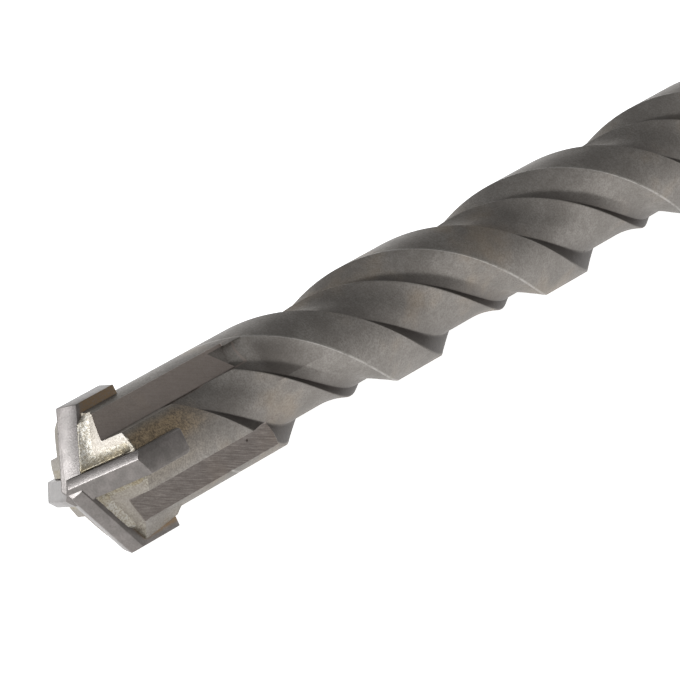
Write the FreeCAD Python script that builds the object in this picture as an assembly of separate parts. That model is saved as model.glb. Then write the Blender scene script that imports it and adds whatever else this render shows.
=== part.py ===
"""Masonry drill bit with a slotted shank and a cross-shaped carbide tip, lying at rest.

The bit is two pieces. The body is one steel bar: a plain shank with two ball grooves and two
drive slots, a neck, a double-fluted helix, and a head with straight notches between four arms.
The tip is one carbide cross, brazed into crossed slots in the head.

Both pieces are made along the X axis, in a frame that turns with the bit: X runs from the tip to
the shank, Y points along the long blade of the cross, Z along its short blade. The last step
turns the bit to the roll at which it lies, and lifts it onto the ground. Lengths are millimetres,
angles are degrees.
"""
import FreeCAD, Part
import math
import os

VECTOR = FreeCAD.Vector
X_AXIS = VECTOR(1, 0, 0)
ORIGIN = VECTOR(0, 0, 0)

# Overall sizes
OVERALL_LENGTH = 210.0
HEAD_DIAMETER = 16.0
BODY_DIAMETER = 13.2
SHANK_DIAMETER = 10.0
SHANK_LENGTH = 47.0
NECK_DIAMETER = 12.6
NECK_LENGTH = 9.0
NECK_CONE_LENGTH = 4.0
SHANK_CHAMFER = 1.0

# Cutting tip
POINT_ANGLE = 124.6
LONG_BLADE_THICKNESS = 3.0
LONG_BLADE_BACK = 10.2
LONG_BLADE_SIDE_RELIEF = 12.0
SHORT_BLADE_DIAMETER = 15.3
SHORT_BLADE_THICKNESS = 2.72
SHORT_BLADE_BACK = 10.8
SHORT_BLADE_CORNER = 0.5
RIDGE_OFFSET = 0.5
LEADING_FACET_ANGLE = 42.0
TRAILING_FACET_ANGLE = 29.0

# Head of the body
FACE_SET_BACK = 1.4
HEAD_ROLL = 47.0
UPPER_NOTCH_WALL = 3.2
UPPER_NOTCH_FLOOR = 3.58
UPPER_NOTCH_SLANT = 14.5
UPPER_NOTCH_END = 23.3
LOWER_NOTCH_WALL = 3.07
LOWER_NOTCH_FLOOR = 3.6
LOWER_NOTCH_SLANT = 6.5
LOWER_NOTCH_END = 26.7
SHOULDER_FOOT = 3.32
SHOULDER_FRONT = 5.3
SHOULDER_FRONT_HEIGHT = 7.6
SHOULDER_BACK = 10.2
SHOULDER_BACK_HEIGHT = 7.05
SHOULDER_LEAN = 1.3
SHOULDER_SINK = 0.25

# Flutes
LEAD = 49.8
FLUTE_START = 13.4
FLUTE_START_ANGLE = 67.0
FLUTE_RUN_OUT = 12.0
DEEP_FLUTE_DEPTH = 1.85
DEEP_WALL_ANGLE = 14.0
DEEP_FLOOR_END = 48.0
SHALLOW_FLUTE_DEPTH = 1.8
MINOR_RIDGE_ANGLE = 79.5
MINOR_RIDGE_DROP = 1.0
MINOR_RIDGE_LEAN = 8.0
SHALLOW_FLOOR_START = 87.0
SHALLOW_FLOOR_END = 107.0
LAND_TRAILING_ANGLE = 129.0
SHALLOW_FLUTE_START = 21.6
SHALLOW_FLUTE_SIDE = 5.62
SHALLOW_FLUTE_SIDE_END = 26.2
CUTTER_PROUD = 1.2

# Shank grooves
BALL_GROOVE_RADIUS = 3.5
BALL_GROOVE_DEPTH = 1.5
BALL_GROOVE_SET_BACK = 11.0
BALL_GROOVE_LENGTH = 20.0
DRIVE_SLOT_WIDTH = 2.7
DRIVE_SLOT_DEPTH = 1.65
DRIVE_SLOT_LENGTH = 36.0
DRIVE_SLOT_RUN_OUT_RADIUS = 12.0
STRETCH_OVERLAP = 1.5

# Values worked out from the sizes above
HEAD_RADIUS = HEAD_DIAMETER / 2
BODY_RADIUS = BODY_DIAMETER / 2
SHANK_RADIUS = SHANK_DIAMETER / 2
SHANK_START = OVERALL_LENGTH - SHANK_LENGTH
FLUTE_END = SHANK_START - NECK_CONE_LENGTH - NECK_LENGTH
EDGE_SLOPE = 1 / math.tan(math.radians(POINT_ANGLE / 2))
CUT_REACH = 2 * HEAD_RADIUS
SECTION_STEP = 30.0


def polar(station, radius, angle):
    """Point at a station along the bit, a distance from its axis and an angle round it."""
    turn = math.radians(angle)
    return VECTOR(station, radius * math.cos(turn), radius * math.sin(turn))


def turned(shape, angle):
    """Copy of a shape, turned about the bit's axis."""
    copy = shape.copy()
    copy.rotate(ORIGIN, X_AXIS, angle)
    return copy


def with_opposite(shape):
    """A shape and its copy on the other side of the axis: everything on the bit comes in twos."""
    return [shape, turned(shape, 180)]


def prism(corners, direction):
    """Closed outline of corners, carried along a direction."""
    outline = Part.makePolygon(corners + corners[:1])
    return Part.Face(outline).extrude(direction)


def disc(radius, start, end):
    return Part.makeCylinder(radius, end - start, VECTOR(start, 0, 0), X_AXIS)


def half_roof(thickness, reach):
    """Bar under the two ground facets of one cutting edge, running along +Y and falling back."""
    half = thickness / 2
    ridge = -RIDGE_OFFSET
    leading_drop = (ridge + half) * math.tan(math.radians(LEADING_FACET_ANGLE))
    trailing_drop = (half - ridge) * math.tan(math.radians(TRAILING_FACET_ANGLE))
    fall = EDGE_SLOPE * reach + RIDGE_OFFSET * math.tan(math.radians(TRAILING_FACET_ANGLE))
    rise = EDGE_SLOPE * 2 * reach
    depth = 3 * CUT_REACH
    corners = [
        VECTOR(leading_drop - fall, -reach, -half),
        VECTOR(-fall, -reach, ridge),
        VECTOR(trailing_drop - fall, -reach, half),
        VECTOR(depth, -reach, half),
        VECTOR(depth, -reach, -half),
    ]
    return prism(corners, VECTOR(rise, 2 * reach, 0))


def blade(thickness, radius, back):
    """One straight blade of the cross, with a cutting edge on each half and round ends."""
    roof = half_roof(thickness, CUT_REACH)
    body = roof.common(turned(roof, 180))
    return body.common(disc(radius, -1, back))


def side_relief():
    """Wedges that lean the long blade's ends back behind the cutting corner."""
    half = LONG_BLADE_THICKNESS / 2
    lean = math.tan(math.radians(LONG_BLADE_SIDE_RELIEF)) * (half + 1 + RIDGE_OFFSET)
    corners = [
        VECTOR(-1, HEAD_RADIUS, -RIDGE_OFFSET),
        VECTOR(-1, HEAD_RADIUS + 1, -RIDGE_OFFSET),
        VECTOR(-1, HEAD_RADIUS + 1, half + 1),
        VECTOR(-1, HEAD_RADIUS - lean, half + 1),
    ]
    return with_opposite(prism(corners, VECTOR(LONG_BLADE_BACK + 2, 0, 0)))


def short_blade_corners():
    """Chamfers across the back outer corners of the short blade."""
    radius = SHORT_BLADE_DIAMETER / 2
    size = SHORT_BLADE_CORNER
    half = SHORT_BLADE_THICKNESS
    corners = [
        VECTOR(SHORT_BLADE_BACK + size, -half, radius - 2 * size),
        VECTOR(SHORT_BLADE_BACK + size, -half, radius + size),
        VECTOR(SHORT_BLADE_BACK - 2 * size, -half, radius + size),
    ]
    return with_opposite(prism(corners, VECTOR(0, 2 * half, 0)))


def carbide_cross():
    long_blade = blade(LONG_BLADE_THICKNESS, HEAD_RADIUS, LONG_BLADE_BACK).cut(side_relief())
    short_blade = blade(SHORT_BLADE_THICKNESS, SHORT_BLADE_DIAMETER / 2, SHORT_BLADE_BACK)
    short_blade = turned(short_blade, 90).cut(short_blade_corners())
    return long_blade.fuse(short_blade).removeSplitter()


def shank_divisions():
    """Stations that divide the shank's wall: inside the slots' tips and at the ball grooves' rounds."""
    radius = DRIVE_SLOT_RUN_OUT_RADIUS
    run_out = math.sqrt(radius ** 2 - (radius - DRIVE_SLOT_DEPTH) ** 2)
    slot_tip = OVERALL_LENGTH - DRIVE_SLOT_LENGTH - run_out
    groove_end = OVERALL_LENGTH - BALL_GROOVE_SET_BACK
    groove_start = groove_end - BALL_GROOVE_LENGTH
    rounds = [groove_start + BALL_GROOVE_RADIUS, groove_end - BALL_GROOVE_RADIUS]
    return sorted([slot_tip + STRETCH_OVERLAP] + rounds)


def bar():
    """Turned bar: coned face, fluted length, neck, shank and end chamfer.

    The shank's wall is divided near its grooves' ends, so that at the middle of each stretch a
    groove is there from end to end or not at all.
    """
    neck_radius = NECK_DIAMETER / 2
    cone_start = SHANK_START - NECK_CONE_LENGTH
    neck_start = FLUTE_END + 1.0
    outline = [
        VECTOR(FACE_SET_BACK, 0, 0),
        VECTOR(FACE_SET_BACK + EDGE_SLOPE * BODY_RADIUS, BODY_RADIUS, 0),
        VECTOR(neck_start, BODY_RADIUS, 0),
        VECTOR(neck_start + BODY_RADIUS - neck_radius, neck_radius, 0),
        VECTOR(cone_start, neck_radius, 0),
        VECTOR(SHANK_START, SHANK_RADIUS, 0),
        *[VECTOR(station, SHANK_RADIUS, 0) for station in shank_divisions()],
        VECTOR(OVERALL_LENGTH - SHANK_CHAMFER, SHANK_RADIUS, 0),
        VECTOR(OVERALL_LENGTH, SHANK_RADIUS - SHANK_CHAMFER, 0),
        VECTOR(OVERALL_LENGTH, 0, 0),
    ]
    return Part.Face(Part.makePolygon(outline + outline[:1])).revolve(ORIGIN, X_AXIS, 360)


def shoulder():
    """Steel gusset on the leading side of a long arm: it rises from the bar to the blade's side."""
    half = LONG_BLADE_THICKNESS / 2
    foot = math.sqrt(BODY_RADIUS ** 2 - SHOULDER_FOOT ** 2)
    outline = [
        VECTOR(FACE_SET_BACK + EDGE_SLOPE * (BODY_RADIUS - SHOULDER_SINK), BODY_RADIUS - SHOULDER_SINK, 0),
        VECTOR(FACE_SET_BACK + EDGE_SLOPE * HEAD_RADIUS, HEAD_RADIUS, 0),
        VECTOR(SHOULDER_BACK, HEAD_RADIUS, 0),
        VECTOR(SHOULDER_BACK + SHOULDER_LEAN, BODY_RADIUS - SHOULDER_SINK, 0),
    ]
    ring = Part.Face(Part.makePolygon(outline + outline[:1])).revolve(ORIGIN, X_AXIS, 360)
    ring = ring.common(Part.makeBox(CUT_REACH, HEAD_RADIUS, CUT_REACH, VECTOR(0, 0, -CUT_REACH - half)))
    slope = [
        VECTOR(SHOULDER_FRONT, SHOULDER_FRONT_HEIGHT, -half),
        VECTOR(SHOULDER_BACK, SHOULDER_BACK_HEIGHT, -half),
        VECTOR(SHOULDER_FRONT, foot, -SHOULDER_FOOT),
    ]
    return ring.common(half_space(slope, VECTOR(SHOULDER_FRONT, 0, -half)))


def half_space(points, inside):
    """Thick slab on the side of a plane, given by three points, that holds the inside point."""
    normal = (points[1] - points[0]).cross(points[2] - points[0])
    normal.normalize()
    if normal.dot(inside - points[0]) < 0:
        normal = normal * -1
    size = 4 * CUT_REACH
    plane = Part.makePlane(size, size, ORIGIN, VECTOR(0, 0, 1))
    plane.translate(VECTOR(-size / 2, -size / 2, 0))
    plane.Placement = FreeCAD.Placement(
        points[0], FreeCAD.Rotation(VECTOR(0, 0, 1), normal)).multiply(plane.Placement)
    return plane.extrude(normal * size)


def upper_notch():
    """Straight step between the long arm and the leading side of the short arm."""
    rise = CUT_REACH
    drop = rise * math.tan(math.radians(UPPER_NOTCH_SLANT))
    corners = [
        VECTOR(-1, UPPER_NOTCH_WALL, UPPER_NOTCH_FLOOR),
        VECTOR(-1, UPPER_NOTCH_WALL + rise, UPPER_NOTCH_FLOOR - drop),
        VECTOR(-1, UPPER_NOTCH_WALL + rise, CUT_REACH),
        VECTOR(-1, UPPER_NOTCH_WALL, CUT_REACH),
    ]
    return prism(corners, VECTOR(UPPER_NOTCH_END + 1, 0, 0))


def lower_notch():
    """Straight step between the trailing side of the short arm and the next long arm."""
    rise = CUT_REACH
    drop = rise * math.tan(math.radians(LOWER_NOTCH_SLANT))
    corners = [
        VECTOR(-1, -LOWER_NOTCH_WALL, LOWER_NOTCH_FLOOR),
        VECTOR(-1, -LOWER_NOTCH_WALL - rise, LOWER_NOTCH_FLOOR - drop),
        VECTOR(-1, -LOWER_NOTCH_WALL - rise, CUT_REACH),
        VECTOR(-1, -LOWER_NOTCH_WALL, CUT_REACH),
    ]
    return prism(corners, VECTOR(LOWER_NOTCH_END + 1, 0, 0))


def helix_angle(station):
    """Angle of the main land's leading edge at a station."""
    return FLUTE_START_ANGLE + (station - FLUTE_START) * 360 / LEAD


def closed_section(start, rise, outside, floor_edges, at):
    """Outline of a flute's cutter: the ground edges, closed well outside the bar."""
    reach = 1.5 * outside
    quarter = (rise - start) / 4
    back = [at(outside, rise), at(reach, rise - quarter), at(reach, start + quarter), at(outside, start)]
    closing = [Part.makeLine(a, b) for a, b in zip(back, back[1:])]
    return Part.Wire(floor_edges + closing)


def deep_section(station, lift):
    """Outline of the deep flute: steep wall, round floor and a straight rise to the minor ridge."""
    turn = helix_angle(station)
    floor = BODY_RADIUS - DEEP_FLUTE_DEPTH + lift
    outside = BODY_RADIUS + lift + CUTTER_PROUD

    def at(radius, behind):
        return polar(station, radius, turn - behind)

    start = -DEEP_WALL_ANGLE * CUTTER_PROUD / DEEP_FLUTE_DEPTH
    rise = DEEP_FLOOR_END + math.degrees(math.acos(floor / outside))
    foot = at(floor, DEEP_WALL_ANGLE)
    floor_end = at(floor, DEEP_FLOOR_END)
    middle = at(floor, (DEEP_WALL_ANGLE + DEEP_FLOOR_END) / 2)
    edges = [
        Part.makeLine(at(outside, start), foot),
        Part.Arc(foot, middle, floor_end).toShape(),
        Part.makeLine(floor_end, at(outside, rise)),
    ]
    return closed_section(start, rise, outside, edges, at)


def shallow_section(station, lift):
    """Outline of the shallow flute: low wall under the minor ridge, floor and rise to the land."""
    turn = helix_angle(station)
    land = BODY_RADIUS + lift
    floor = land - SHALLOW_FLUTE_DEPTH
    outside = land + CUTTER_PROUD

    def at(radius, behind):
        return polar(station, radius, turn - behind)

    climb = (LAND_TRAILING_ANGLE - SHALLOW_FLOOR_END) / SHALLOW_FLUTE_DEPTH
    rise = LAND_TRAILING_ANGLE + climb * CUTTER_PROUD
    start = MINOR_RIDGE_ANGLE - MINOR_RIDGE_LEAN
    crest = at(land - MINOR_RIDGE_DROP, MINOR_RIDGE_ANGLE)
    foot = at(floor, SHALLOW_FLOOR_START)
    floor_end = at(floor, SHALLOW_FLOOR_END)
    middle = at(floor, (SHALLOW_FLOOR_START + SHALLOW_FLOOR_END) / 2)
    edges = [
        Part.makeLine(at(outside, start), crest),
        Part.makeLine(crest, foot),
        Part.Arc(foot, middle, floor_end).toShape(),
        Part.makeLine(floor_end, at(outside, rise)),
    ]
    return closed_section(start, rise, outside, edges, at)


def spread(start, end, step):
    """Evenly spaced stations from start to end, no further apart than the step."""
    count = math.ceil((end - start) / step)
    return [start + (end - start) * i / count for i in range(count + 1)]


def run_out_lift(station, depth):
    """Height of a cutter over its full depth, where it leaves the bar at the end of the flutes."""
    past = max(station - (FLUTE_END - FLUTE_RUN_OUT), 0) / FLUTE_RUN_OUT
    return (depth + 0.2) * past ** 2


def helical_cutter(section, start, depth):
    """Cutter lofted through its turning outline, from a station to where it leaves the bar."""
    stations = spread(start, FLUTE_END, LEAD * SECTION_STEP / 360)
    return Part.makeLoft([section(x, run_out_lift(x, depth)) for x in stations], True, False)


def kept_block(start, end, side):
    """Stretch of the bar outside a plane beside the long arm, which a cutter leaves standing."""
    return Part.makeBox(end - start, CUT_REACH, 2 * CUT_REACH, VECTOR(start, side, -CUT_REACH))


def deep_cutters():
    """The two deep flutes, each held to the short arm's side of the straight notch at its start."""
    start = FLUTE_START - 2.2
    cutter = helical_cutter(deep_section, start, DEEP_FLUTE_DEPTH)
    return with_opposite(cutter.cut(kept_block(start - 1, UPPER_NOTCH_END - 1, UPPER_NOTCH_WALL)))


def shallow_cutters():
    """The two shallow flutes, which begin square across the notch and inside the long arm."""
    start = SHALLOW_FLUTE_START
    cutter = helical_cutter(shallow_section, start, SHALLOW_FLUTE_DEPTH)
    return with_opposite(cutter.cut(kept_block(start - 1, SHALLOW_FLUTE_SIDE_END, SHALLOW_FLUTE_SIDE)))


def ball_groove():
    """Closed groove for the chuck's locking ball."""
    centre = SHANK_RADIUS - BALL_GROOVE_DEPTH + BALL_GROOVE_RADIUS
    end = OVERALL_LENGTH - BALL_GROOVE_SET_BACK - BALL_GROOVE_RADIUS
    start = end - BALL_GROOVE_LENGTH + 2 * BALL_GROOVE_RADIUS
    groove = Part.makeCylinder(BALL_GROOVE_RADIUS, end - start, VECTOR(start, centre, 0), X_AXIS)
    for station in (start, end):
        groove = groove.fuse(Part.makeSphere(BALL_GROOVE_RADIUS, VECTOR(station, centre, 0)))
    return groove


def drive_slot():
    """Open slot for the chuck's drive rib, with the round end that its side cutter leaves."""
    floor = SHANK_RADIUS - DRIVE_SLOT_DEPTH
    start = OVERALL_LENGTH - DRIVE_SLOT_LENGTH
    slot = Part.makeBox(DRIVE_SLOT_LENGTH + 1, DRIVE_SLOT_WIDTH, CUT_REACH,
                        VECTOR(start, -DRIVE_SLOT_WIDTH / 2, floor))
    wheel = Part.makeCylinder(DRIVE_SLOT_RUN_OUT_RADIUS, DRIVE_SLOT_WIDTH,
                              VECTOR(start, -DRIVE_SLOT_WIDTH / 2, floor + DRIVE_SLOT_RUN_OUT_RADIUS),
                              VECTOR(0, 1, 0))
    return slot.fuse(wheel)


def drill_body(tip):
    cuts = with_opposite(upper_notch()) + with_opposite(lower_notch())
    cuts += with_opposite(ball_groove()) + with_opposite(drive_slot())
    body = bar().cut(cuts)
    for arm in with_opposite(shoulder()):
        body = body.fuse(arm)
    for cutter in deep_cutters() + shallow_cutters():
        body = body.cut(cutter)
    return body.cut(tip)


def laid_down(shape):
    """Turn the bit to its resting roll, with the origin under the middle of its length."""
    placed = turned(shape, HEAD_ROLL)
    placed.translate(VECTOR(-OVERALL_LENGTH / 2, 0, BODY_RADIUS))
    return placed


def main():
    os.makedirs("parts", exist_ok=True)
    tip = carbide_cross()
    body = drill_body(tip)
    for name, shape in (("drill_body", body), ("carbide_cross_tip", tip)):
        solid = laid_down(shape)
        print(name, solid.isValid(), len(solid.Solids), round(solid.Volume, 1), solid.BoundBox)
        solid.exportStep("parts/" + name + ".step")


main()
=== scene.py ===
# %% [markdown]
# A masonry drill bit on a white table. The bit is a steel bar with ground flutes, and a carbide
# cross is brazed into its end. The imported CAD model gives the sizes. The camera comes first, then
# the shapes, then the finishes, and the light last.

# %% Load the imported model
import bpy
import bmesh
import math
from mathutils import Matrix, Vector


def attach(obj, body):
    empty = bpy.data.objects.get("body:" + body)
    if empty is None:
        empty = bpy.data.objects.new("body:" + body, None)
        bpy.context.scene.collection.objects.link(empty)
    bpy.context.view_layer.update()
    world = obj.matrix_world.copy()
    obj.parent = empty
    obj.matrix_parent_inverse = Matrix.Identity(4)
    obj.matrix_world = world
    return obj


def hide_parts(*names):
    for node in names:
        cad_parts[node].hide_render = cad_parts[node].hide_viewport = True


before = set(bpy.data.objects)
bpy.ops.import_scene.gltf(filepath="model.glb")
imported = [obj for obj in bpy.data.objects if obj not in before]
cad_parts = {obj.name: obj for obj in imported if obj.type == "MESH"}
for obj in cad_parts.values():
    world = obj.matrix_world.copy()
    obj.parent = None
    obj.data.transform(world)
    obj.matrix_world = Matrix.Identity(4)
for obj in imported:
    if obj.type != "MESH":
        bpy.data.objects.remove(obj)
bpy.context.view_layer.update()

# %% [markdown]
# The bit is drawn in its own frame, in millimetres, and laid down at the end. In that frame X runs
# from the tip to the shank, Y lies along the long blade of the cross and Z along the short blade.
# Lying down is one turn about X, to the roll at which the bit rests, and a lift onto the table.

# %% The bit's own frame
MM = 0.001
OVERALL_LENGTH = 210.0
BODY_RADIUS = 6.6
HEAD_RADIUS = 8.0
NECK_RADIUS = 6.3
SHANK_RADIUS = 5.0
LONG_HALF = 1.5
SHORT_HALF = 1.36
REST_ROLL = 47.0


def lying_down():
    to_table = Matrix.Translation((-OVERALL_LENGTH / 2, 0, BODY_RADIUS))
    return Matrix.Scale(MM, 4) @ to_table @ Matrix.Rotation(math.radians(REST_ROLL), 4, "X")


# %% [markdown]
# The camera comes first, because every later look is judged through it. Its place and direction
# were fitted to the lines of the photograph. It is a long lens from about 0.6 m.

# %% Camera
CAMERA_PLACE = (-0.434985, -0.264632, 0.311196)
CAMERA_RIGHT = (0.641014, -0.757437, 0.124057)
CAMERA_UP = (0.360707, 0.439960, 0.822390)
CAMERA_BACK = (-0.677489, -0.482415, 0.555233)
FOCAL_PIXELS = 5338.3
PICTURE_WIDTH = 680
SENSOR = 36.0


def place_camera():
    data = bpy.data.cameras.new("camera")
    data.sensor_width = SENSOR
    data.lens = FOCAL_PIXELS * SENSOR / PICTURE_WIDTH
    data.clip_start = 0.01
    camera = bpy.data.objects.new("camera", data)
    columns = [CAMERA_RIGHT, CAMERA_UP, CAMERA_BACK]
    turn = Matrix([[column[row] for column in columns] for row in range(3)])
    camera.matrix_world = Matrix.Translation(CAMERA_PLACE) @ turn.to_4x4()
    bpy.context.scene.collection.objects.link(camera)
    bpy.context.scene.camera = camera
    print("lens", round(data.lens, 1), "mm")


place_camera()

# %% [markdown]
# Both the flutes and the finishes are formulas. Wiring each sum by hand would take hundreds of
# lines, so one small class turns a node's output into something that Python can add and multiply.
# The same class serves geometry and shader trees.

# %% Formulas as nodes


class Value:
    """An output of a node that takes part in formulas."""

    def __init__(self, sheet, socket):
        self.sheet = sheet
        self.socket = socket

    def __add__(self, other):
        return self.sheet.maths("ADD", self, other)

    def __sub__(self, other):
        return self.sheet.maths("SUBTRACT", self, other)

    def __rsub__(self, other):
        return self.sheet.maths("SUBTRACT", other, self)

    def __mul__(self, other):
        return self.sheet.maths("MULTIPLY", self, other)

    def __truediv__(self, other):
        return self.sheet.maths("DIVIDE", self, other)

    __radd__ = __add__
    __rmul__ = __mul__

    def output(self, name):
        """Another output of the same node."""
        return Value(self.sheet, self.socket.node.outputs[name])


class Sheet:
    """A node tree with one method for adding a node, its settings and its values."""

    def __init__(self, tree):
        self.tree = tree

    def add(self, kind, settings=None, values=None, output=0):
        node = self.tree.nodes.new(kind)
        for name, setting in (settings or {}).items():
            setattr(node, name, setting)
        for name, value in (values or {}).items():
            if isinstance(value, Value):
                self.tree.links.new(value.socket, node.inputs[name])
            else:
                node.inputs[name].default_value = value
        return Value(self, node.outputs[output]) if len(node.outputs) else node

    def maths(self, operation, *values):
        return self.add("ShaderNodeMath", {"operation": operation}, dict(enumerate(values)))

    def clamped(self, value, low, high):
        return self.maths("MINIMUM", self.maths("MAXIMUM", value, low), high)

    def step(self, value, start, end):
        """0 at start, 1 at end and a smooth climb between them. Start may be the higher number."""
        settings = {"interpolation_type": "SMOOTHSTEP"}
        return self.add("ShaderNodeMapRange", settings, {"Value": value, "From Min": start, "From Max": end})

    def band(self, value, rise, fall):
        """1 between a climb over the pair rise and a drop over the pair fall, 0 outside."""
        return self.step(value, *rise) * self.step(value, *fall)

    def along(self, value, stops):
        """A line through (position, height) stops, as a sum of clamped ramps."""
        height = stops[0][1]
        for (start, low), (end, high) in zip(stops, stops[1:]):
            ramp = self.clamped((value - start) / (end - start), 0, 1)
            height = ramp * (high - low) + height
        return height


# %% [markdown]
# A mesh is made in two ways here. A turned piece is an outline spun about the bit's axis. A milled
# notch is a flat outline carried along a direction. Both come back closed, with faces outwards.

# %% Turned and milled shapes


def mesh_from(name, builder):
    """A mesh of what the builder adds to an empty form, with its faces turned outwards."""
    form = bmesh.new()
    builder(form)
    bmesh.ops.recalc_face_normals(form, faces=form.faces)
    mesh = bpy.data.meshes.new(name)
    form.to_mesh(mesh)
    form.free()
    return mesh


def object_from(name, mesh):
    """The mesh as an object of the scene."""
    piece = bpy.data.objects.new(name, mesh)
    bpy.context.scene.collection.objects.link(piece)
    return piece


def smooth_shaded(mesh, sharp_angle=None):
    """Smooth faces, with sharp edges where two of them meet at more than the angle."""
    for face in mesh.polygons:
        face.use_smooth = True
    if sharp_angle:
        mesh.set_sharp_from_angle(angle=math.radians(sharp_angle))


def turned_form(outline, segments, sideways=0.0):
    """Outline of (station, radius) points spun about X, or about a line beside it."""
    def builder(form):
        rings = []
        for station, radius in outline:
            if radius == 0:
                rings.append([form.verts.new((station, sideways, 0))])
                continue
            ring = []
            for step in range(segments):
                turn = 2 * math.pi * step / segments
                across, up = radius * math.cos(turn), radius * math.sin(turn)
                ring.append(form.verts.new((station, sideways + across, up)))
            rings.append(ring)
        for ring, following in zip(rings, rings[1:]):
            for step in range(segments):
                after = (step + 1) % segments
                corners = [ring[step % len(ring)], ring[after % len(ring)],
                           following[after % len(following)], following[step % len(following)]]
                unique = list(dict.fromkeys(corners))
                form.faces.new(unique)
    return builder


def milled_form(outline, direction):
    """Flat closed outline carried along a direction."""
    def builder(form):
        near = [form.verts.new(point) for point in outline]
        far = [form.verts.new(Vector(point) + Vector(direction)) for point in outline]
        form.faces.new(near)
        form.faces.new(far[::-1])
        for index in range(len(near)):
            after = (index + 1) % len(near)
            form.faces.new([near[index], near[after], far[after], far[index]])
    return builder


def opposite_too(mesh):
    """Everything on the bit comes in twos: add the copy on the other side of the axis."""
    form = bmesh.new()
    form.from_mesh(mesh)
    twin = bmesh.ops.duplicate(form, geom=form.verts[:] + form.edges[:] + form.faces[:])["geom"]
    corners = [part for part in twin if isinstance(part, bmesh.types.BMVert)]
    bmesh.ops.rotate(form, verts=corners, cent=(0, 0, 0), matrix=Matrix.Rotation(math.pi, 3, "X"))
    form.to_mesh(mesh)
    form.free()
    return mesh


# %% [markdown]
# The bar starts as the lathe leaves it: a coned face, the long fluted part, a neck, the shank and
# its end chamfer. A cylinder with a taper would do for the outline, but rings are added between
# the corners, so that the cuts that follow meet small, even faces and shade cleanly.

# %% The turned bar
EDGE_SLOPE = 0.5251
FACE_SET_BACK = 1.4
FLUTE_END = 150.0
RING_SPACING = 1.5
BAR_SEGMENTS = 160


def with_rings(corners, spacing):
    """The outline with points added so that no two are further apart than the spacing."""
    outline = [corners[0]]
    for (start, low), (end, high) in zip(corners, corners[1:]):
        count = max(1, math.ceil(abs(end - start) / spacing))
        for index in range(1, count + 1):
            part = index / count
            outline.append((start + (end - start) * part, low + (high - low) * part))
    return outline


BAR_CORNERS = [
    (FACE_SET_BACK, 0), (FACE_SET_BACK + EDGE_SLOPE * BODY_RADIUS, BODY_RADIUS),
    (151.0, BODY_RADIUS), (151.3, NECK_RADIUS), (159.0, NECK_RADIUS), (163.0, SHANK_RADIUS),
    (OVERALL_LENGTH - 1, SHANK_RADIUS), (OVERALL_LENGTH - 0.3, SHANK_RADIUS - 0.7),
    (OVERALL_LENGTH, SHANK_RADIUS - 1), (OVERALL_LENGTH, 0),
]
bar_form = turned_form(with_rings(BAR_CORNERS, RING_SPACING), BAR_SEGMENTS)
bar = object_from("turned_bar", mesh_from("turned_bar", bar_form))
print("bar", len(bar.data.vertices), "points")

# %% [markdown]
# Four straight notches run back from the face between the arms of the cross, so that dust can
# leave the hole. A milling cutter makes them in one pass, and so does the script: a flat outline
# is carried along the bit and taken out of the bar. Its inner corner keeps the cutter's radius.

# %% Notches
CORNER_RADIUS = 0.18
REACH = 16.0
BEFORE_FACE = -1
NOTCHES = {
    "upper_notch": {"wall": 3.2, "floor": 3.58, "slant": 14.5, "end": 23.95},
    "lower_notch": {"wall": -3.07, "floor": 3.6, "slant": 6.5, "end": 26.7},
}


def rounded_corner(before, corner, after, radius, steps=5):
    """Points that round a corner of an outline."""
    corner = Vector(corner)
    first = (Vector(before) - corner).normalized()
    second = (Vector(after) - corner).normalized()
    half = first.angle(second) / 2
    centre = corner + (first + second).normalized() * radius / math.sin(half)
    start = (corner + first * radius / math.tan(half) - centre).normalized()
    end = (corner + second * radius / math.tan(half) - centre).normalized()
    return [tuple(centre + start.slerp(end, index / steps) * radius) for index in range(steps + 1)]


def notch_form(wall, floor, slant, end):
    """Wall and floor meet in the inner corner. The floor slants down outwards, by slant degrees."""
    far = wall + math.copysign(REACH, wall)
    drop = REACH * math.tan(math.radians(slant))
    outer = (BEFORE_FACE, far, floor - drop)
    inner = (BEFORE_FACE, wall, floor)
    top = (BEFORE_FACE, wall, REACH)
    corner = rounded_corner(outer, inner, top, CORNER_RADIUS)
    outline = [outer] + corner + [top, (BEFORE_FACE, far, REACH)]
    return milled_form(outline, (end - BEFORE_FACE, 0, 0))


cuts = [opposite_too(mesh_from(name, notch_form(**sizes))) for name, sizes in NOTCHES.items()]
print("notches", len(cuts), "pairs")

# %% [markdown]
# The shank has two closed grooves for the chuck's locking balls and two open slots for its drive
# ribs. They aren't in the photograph, so their sizes are the usual ones. A ball groove is an
# outline turned about a line beside the shank. A slot ends in the arc of the wheel that cut it.

# %% Shank grooves


def ball_groove_form():
    radius, depth, start, end = 3.5, 1.5, 182.5, 195.5
    steps = 12
    turns = [math.pi / 2 * step / steps for step in range(steps)]
    left = [(start - radius * math.cos(turn), radius * math.sin(turn)) for turn in turns]
    right = [(end + radius * math.sin(turn), radius * math.cos(turn)) for turn in turns]
    outline = [(left[0][0], 0)] + left[1:] + [(start, radius)] + right + [(end + radius, 0)]
    return turned_form(outline, 64, sideways=SHANK_RADIUS - depth + radius)


def drive_slot_form():
    width, depth, start, wheel, steps = 2.7, 1.65, 174.0, 12.0, 16
    floor = SHANK_RADIUS - depth
    top = floor + 2 * depth
    behind_end = OVERALL_LENGTH + 2
    sweep = math.acos((wheel - depth - 1) / wheel)
    arc = []
    for step in range(steps + 1):
        turn = sweep * (1 - step / steps)
        arc.append((start - wheel * math.sin(turn), -width / 2, floor + wheel * (1 - math.cos(turn))))
    outline = arc + [(behind_end, -width / 2, floor), (behind_end, -width / 2, top)]
    outline.append((arc[0][0], -width / 2, top))
    return milled_form(outline, (0, width, 0))


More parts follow.
